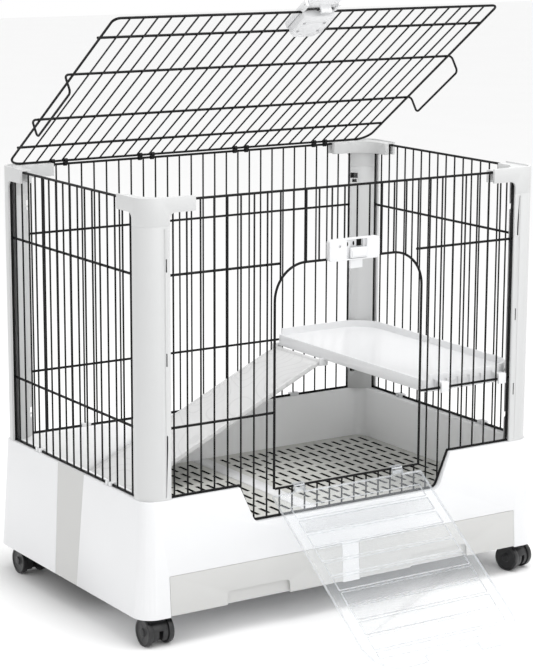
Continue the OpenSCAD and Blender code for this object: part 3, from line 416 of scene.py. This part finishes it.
def disc(name, middle, axis, radius, depth, edge, body, like, finish=None, squeeze=1):
    """A round or oval boss with rounded rims: its middle on the given point, its faces square to axis."""
    bpy.ops.object.select_all(action="DESELECT")
    turn = Vector(axis).to_track_quat("Z", "Y").to_euler()
    bpy.ops.mesh.primitive_cylinder_add(vertices=40, radius=radius, depth=depth,
                                        location=middle, rotation=turn)
    piece = bpy.context.object
    piece.scale = (squeeze, 1, 1)
    bpy.ops.object.transform_apply(location=True, rotation=True, scale=True)
    apply_modifier(piece, "BEVEL", width=edge, segments=3, limit_method="ANGLE")
    settle(piece, name, body, like, finish)


def hub_caps():
    """A rounded cap over each end of a caster's axle."""
    proud, radius, depth, edge = 0.1 * MM, 6.6 * MM, 1.8 * MM, 0.7 * MM
    axle_low, axle_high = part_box("caster_axle_fl")
    reach = (axle_high.x - axle_low.x) / 2 + proud
    for corner in CORNERS:
        roll = joint["wheels_" + corner + "_roll"]
        axis = Vector(roll["axis"])
        for number, side in enumerate(SIDES):
            middle = Vector(roll["pos_m"]) + axis * side * reach
            disc("hub_cap_%s_%d" % (corner, number), middle, axis, radius, depth, edge,
                 "wheels_" + corner, "caster_black")


def panel_hooks():
    """The black wire ends that show in the slots of each post."""
    from_side, half_w, outer, inner, edge = 7 * MM, 0.92 * MM, 0.35 * MM, 3.4 * MM, 0.3 * MM
    hook_low, hook_high = 0.3 * MM, 20.7 * MM
    slot_drops = (72 * MM, 222 * MM, 355 * MM)
    for corner in CORNERS:
        low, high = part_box("post_" + corner)
        middle = high.x - from_side if corner[1] == "l" else low.x + from_side
        face = low.y if corner[0] == "f" else high.y
        inward = 1 if corner[0] == "f" else -1
        near, far = sorted((face + inward * outer, face + inward * inner))
        for number, drop in enumerate(slot_drops):
            foot = high.z - drop
            block("panel_hook_%s_%d" % (corner, number), (middle - half_w, near, foot + hook_low),
                  (middle + half_w, far, foot + hook_high), edge, "cage", "black_wire")


def latch_details():
    """The door latch's finger grip, and painted shade on thin discs for its two keyholes and on a thin plate for
    the window beside them.
    """
    low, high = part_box("door_latch_box")
    pad_low, pad_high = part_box("door_latch_slider")
    side, proud, root, grip_edge = 1.5 * MM, 1.6 * MM, 2 * MM, 1.5 * MM
    grip_low, grip_high = pad_high.z - 15 * MM, pad_high.z - 3 * MM
    block("latch_grip", (pad_low.x + side, pad_low.y - proud, grip_low),
          (pad_high.x - side, pad_low.y + root, grip_high), grip_edge, "door_slider", "gloss_white")
    middle = (low.x + high.x) / 2
    recess_y = pad_low.y + 6.15 * MM
    channel_y = high.y - 1.05 * MM
    depth, edge = 0.3 * MM, 0.1 * MM
    keyhole_z = high.z - 10 * MM
    keyholes = ((middle - 12 * MM, recess_y, keyhole_z), (middle + 3 * MM, channel_y, keyhole_z))
    # painted shade: thin dark discs and a dark plate stand in for the keyholes and the window
    for number, place in enumerate(keyholes):
        disc("latch_keyhole_shade_%d" % number, place, (0, -1, 0), 3.6 * MM, depth, edge,
             "cage", "gloss_white", PAINTED_SHADE, squeeze=0.5)
    block("latch_window_shade", (middle + 9 * MM, channel_y - depth / 2, high.z - 15 * MM),
          (middle + 18.5 * MM, channel_y + depth / 2, high.z - 4 * MM), edge, "cage", "gloss_white", PAINTED_SHADE)


def lid_place(x, reach, rise):
    """A point of the open lid: across, along from its hinge wire, and up off its face."""
    hinge = joint["lid_hinge"]
    turn = Matrix.Rotation(math.radians(hinge["range_deg"][0]), 3, "X")
    return Vector(hinge["pos_m"]) + turn @ Vector((x, -reach, rise))


def rounded_route(corners, radius, steps=6):
    """The points of a bent wire: straight between its corners, with an arc at each of them."""
    points = [corners[0]]
    for before, corner, after in zip(corners, corners[1:], corners[2:]):
        into = (before - corner).normalized()
        out = (after - corner).normalized()
        half = into.angle(out) / 2
        reach = radius / math.tan(half)
        middle = corner + (into + out).normalized() * radius / math.sin(half)
        for step in range(steps + 1):
            near = corner + (into * (1 - step / steps) + out * (step / steps)) * reach
            points.append(middle + (near - middle).normalized() * radius)
    return points + [corners[-1]]


def lid_handles():
    """The two side bails, each one wire bent out, down and back with round bends."""
    wire_r, bend_r = 2 * MM, 7 * MM
    lid_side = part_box("lid_mesh")[1].x
    inner = lid_side - 2 * MM
    outer = lid_side + 10.5 * MM
    near, far, rise, drop = 150 * MM, 296 * MM, 3 * MM, -30 * MM
    for side, name in zip(SIDES, ("lid_handle_left", "lid_handle_right")):
        corners = [lid_place(side * x, reach, height) for x, reach, height in (
            (inner, near, rise), (outer, near, rise), (outer, near, drop),
            (outer, far, drop), (outer, far, rise), (inner, far, rise))]
        curve = bpy.data.curves.new(name, "CURVE")
        curve.dimensions = "3D"
        curve.bevel_depth = wire_r
        curve.bevel_resolution = 3
        curve.use_fill_caps = True
        route = rounded_route(corners, bend_r)
        spline = curve.splines.new("POLY")
        spline.points.add(len(route) - 1)
        for point, place in zip(spline.points, route):
            point.co = (*place, 1)
        piece = bpy.data.objects.new(name, curve)
        bpy.context.scene.collection.objects.link(piece)
        only(piece)
        bpy.ops.object.convert(target="MESH")
        settle(piece, name, "lid", "black_wire")
        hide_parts("lid_bails")


def latch_spring():
    """The coil spring in the gap between the lid latch's shells and its lever."""
    coil_r, wire_r, turns, half = 2.2 * MM, 0.6 * MM, 26, 27 * MM
    from_hinge = 479.2 * MM
    bpy.ops.object.select_all(action="DESELECT")
    bpy.ops.mesh.primitive_circle_add(vertices=8, radius=wire_r, location=(-half, 0, coil_r))
    piece = bpy.context.object
    piece.rotation_euler = (math.pi / 2, 0, 0)
    bpy.ops.object.transform_apply(location=True, rotation=True, scale=True)
    apply_modifier(piece, "SCREW", axis="X", angle=2 * math.pi * turns, screw_offset=2 * half,
                   steps=12 * turns, render_steps=12 * turns)
    only(piece)
    bpy.ops.object.mode_set(mode="EDIT")
    bpy.ops.mesh.select_all(action="SELECT")
    bpy.ops.mesh.fill_holes(sides=0)
    bpy.ops.mesh.normals_make_consistent(inside=False)
    bpy.ops.object.mode_set(mode="OBJECT")
    piece.location = lid_place(0, from_hinge, 0)
    settle(piece, "lid_latch_spring", "lid", "black_wire")


# ---- light and floor ----
def add_floor():
    """A plain pale floor, very slightly uneven in colour."""
    bpy.ops.object.select_all(action="DESELECT")
    bpy.ops.mesh.primitive_plane_add(size=30, location=(0, 0, 0))
    floor = bpy.context.object
    floor.name = "floor"
    finish = Finish("pale_floor", Roughness=0.9, Specular_IOR_Level=0.1)
    cloud = finish.noise(scale=3, detail=2)
    finish.set("Base Color", finish.mix(cloud, (0.93, 0.93, 0.93, 1), (0.95, 0.95, 0.95, 1)))
    floor.data.materials.append(finish.material)


def add_light(name, place, size, power):
    """A square soft light that looks at the middle of the cage."""
    cage_middle = Vector((0, 0, 0.4))
    data = bpy.data.lights.new(name, "AREA")
    data.size = size
    data.energy = power
    light = bpy.data.objects.new(name, data)
    light.location = place
    light.rotation_euler = (cage_middle - Vector(place)).to_track_quat("-Z", "Y").to_euler()
    bpy.context.scene.collection.objects.link(light)


def light_room():
    """A white room, a soft light in front, one overhead, and a smaller one lower down above the cage."""
    world = bpy.data.worlds.new("room")
    bpy.context.scene.world = world
    world.use_nodes = True
    background = world.node_tree.nodes["Background"]
    background.inputs["Color"].default_value = (1, 1, 1, 1)
    background.inputs["Strength"].default_value = 1.0
    bpy.context.scene.view_settings.view_transform = "Standard"
    add_light("key", (0.6, -3.6, 2.6), size=2.4, power=20)
    add_light("top", (0.3, -0.5, 3.4), size=2.6, power=32)
    add_light("inner", (0.1, -0.35, 2.0), size=0.7, power=8)


place_camera()
finish_nodes()
paint_shade_in_drawers()
paint_edge_light_and_slot_shade()
lid_handles()
hub_caps()
panel_hooks()
latch_details()
latch_spring()
add_floor()
light_room()
